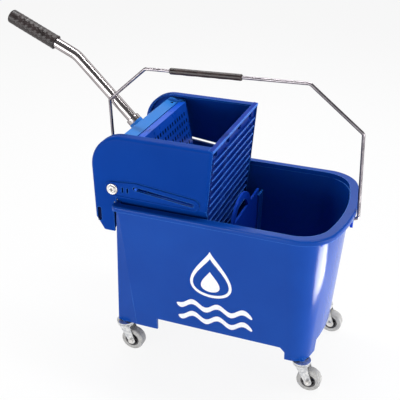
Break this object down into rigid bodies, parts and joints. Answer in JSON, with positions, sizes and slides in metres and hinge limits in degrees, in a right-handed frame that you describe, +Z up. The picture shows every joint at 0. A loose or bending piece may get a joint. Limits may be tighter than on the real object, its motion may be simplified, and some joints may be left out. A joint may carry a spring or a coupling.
{
  "type": "mop bucket with wringer",
  "caption": "Wheeled mop bucket with a lift-off side-press wringer, bent lever, wire bail handle, swivel casters and a lift-out divider.",
  "frame": {"origin": "on the floor, on the middle plane, between the front and rear caster stems", "axes": "+Z up, +X towards the bucket's nose, the lever leans out towards -X"},
  "size_m": [0.6532, 0.28, 0.6008],
  "materials": {
    "blue_plastic": "moulded",
    "zinc_steel": "zinc plated",
    "chrome_tube": "polished",
    "black_grip": "soft moulded",
    "wheel_core": "moulded",
    "grey_tyre": "moulded"
  },
  "bodies": {
    "bucket": {"tub": "blue_plastic", "rear_near_caster_race": "zinc_steel", "rear_far_caster_race": "zinc_steel", "front_near_caster_race": "zinc_steel", "front_far_caster_race": "zinc_steel"},
    "wringer": {"near_cheek": "blue_plastic", "far_cheek": "blue_plastic", "grille": "blue_plastic", "basket_floor": "blue_plastic", "basket_back": "blue_plastic", "rear_panel": "blue_plastic", "pivot_washers": "zinc_steel", "pivot_bolts": "zinc_steel"},
    "lever": {"yoke": "blue_plastic", "hinge_rod": "zinc_steel", "lever_tube": "chrome_tube", "lever_collar": "chrome_tube", "lever_grip": "black_grip"},
    "press": {"press_plate": "blue_plastic"},
    "bail": {"bail_wire": "chrome_tube", "bail_grip": "black_grip"},
    "divider": {"divider": "blue_plastic"},
    "rear_near_fork": {"rear_near_caster_fork": "zinc_steel", "rear_near_caster_axle": "zinc_steel"},
    "rear_near_wheel": {"rear_near_caster_hub": "wheel_core", "rear_near_caster_tyre": "grey_tyre"},
    "rear_far_fork": {"rear_far_caster_fork": "zinc_steel", "rear_far_caster_axle": "zinc_steel"},
    "rear_far_wheel": {"rear_far_caster_hub": "wheel_core", "rear_far_caster_tyre": "grey_tyre"},
    "front_near_fork": {"front_near_caster_fork": "zinc_steel", "front_near_caster_axle": "zinc_steel"},
    "front_near_wheel": {"front_near_caster_hub": "wheel_core", "front_near_caster_tyre": "grey_tyre"},
    "front_far_fork": {"front_far_caster_fork": "zinc_steel", "front_far_caster_axle": "zinc_steel"},
    "front_far_wheel": {"front_far_caster_hub": "wheel_core", "front_far_caster_tyre": "grey_tyre"}
  },
  "joints": [
    {"name": "wringer_lift", "type": "slide", "parent": "bucket", "child": "wringer", "axis": [0, 0, 1], "range_m": [0, 0.06]},
    {"name": "lever_swing", "type": "hinge", "parent": "wringer", "child": "lever", "pos_m": [-0.1705, 0, 0.3475], "axis": [0, 1, 0], "range_deg": [0, 46]},
    {"name": "press_hinge", "type": "hinge", "parent": "lever", "child": "press", "pos_m": [-0.14, 0, 0.4245], "axis": [0, -1, 0], "range_deg": [0, 95.5]},
    {"name": "bail_swing", "type": "hinge", "parent": "bucket", "child": "bail", "pos_m": [0, 0, 0.304], "axis": [1, 0, 0], "range_deg": [0, 130]},
    {"name": "divider_lift", "type": "slide", "parent": "bucket", "child": "divider", "axis": [0, 0, 1], "range_m": [0, 0.15]},
    {"name": "rear_near_swivel", "type": "hinge", "parent": "bucket", "child": "rear_near_fork", "pos_m": [-0.172, -0.096, 0], "axis": [0, 0, 1], "continuous": true},
    {"name": "rear_near_spin", "type": "hinge", "parent": "rear_near_fork", "child": "rear_near_wheel", "pos_m": [-0.156, -0.096, 0.0215], "axis": [0, 1, 0], "continuous": true},
    {"name": "rear_far_swivel", "type": "hinge", "parent": "bucket", "child": "rear_far_fork", "pos_m": [-0.172, 0.096, 0], "axis": [0, 0, 1], "continuous": true},
    {"name": "rear_far_spin", "type": "hinge", "parent": "rear_far_fork", "child": "rear_far_wheel", "pos_m": [-0.156, 0.096, 0.0215], "axis": [0, 1, 0], "continuous": true},
    {"name": "front_near_swivel", "type": "hinge", "parent": "bucket", "child": "front_near_fork", "pos_m": [0.168, -0.092, 0], "axis": [0, 0, 1], "continuous": true},
    {"name": "front_near_spin", "type": "hinge", "parent": "front_near_fork", "child": "front_near_wheel", "pos_m": [0.184, -0.092, 0.0215], "axis": [0, 1, 0], "continuous": true},
    {"name": "front_far_swivel", "type": "hinge", "parent": "bucket", "child": "front_far_fork", "pos_m": [0.168, 0.092, 0], "axis": [0, 0, 1], "continuous": true},
    {"name": "front_far_spin", "type": "hinge", "parent": "front_far_fork", "child": "front_far_wheel", "pos_m": [0.184, 0.092, 0.0215], "axis": [0, 1, 0], "continuous": true}
  ],
  "couplings": [
    {"joint": "press_hinge", "follows": "lever_swing", "ratio": 2.07}
  ]
}
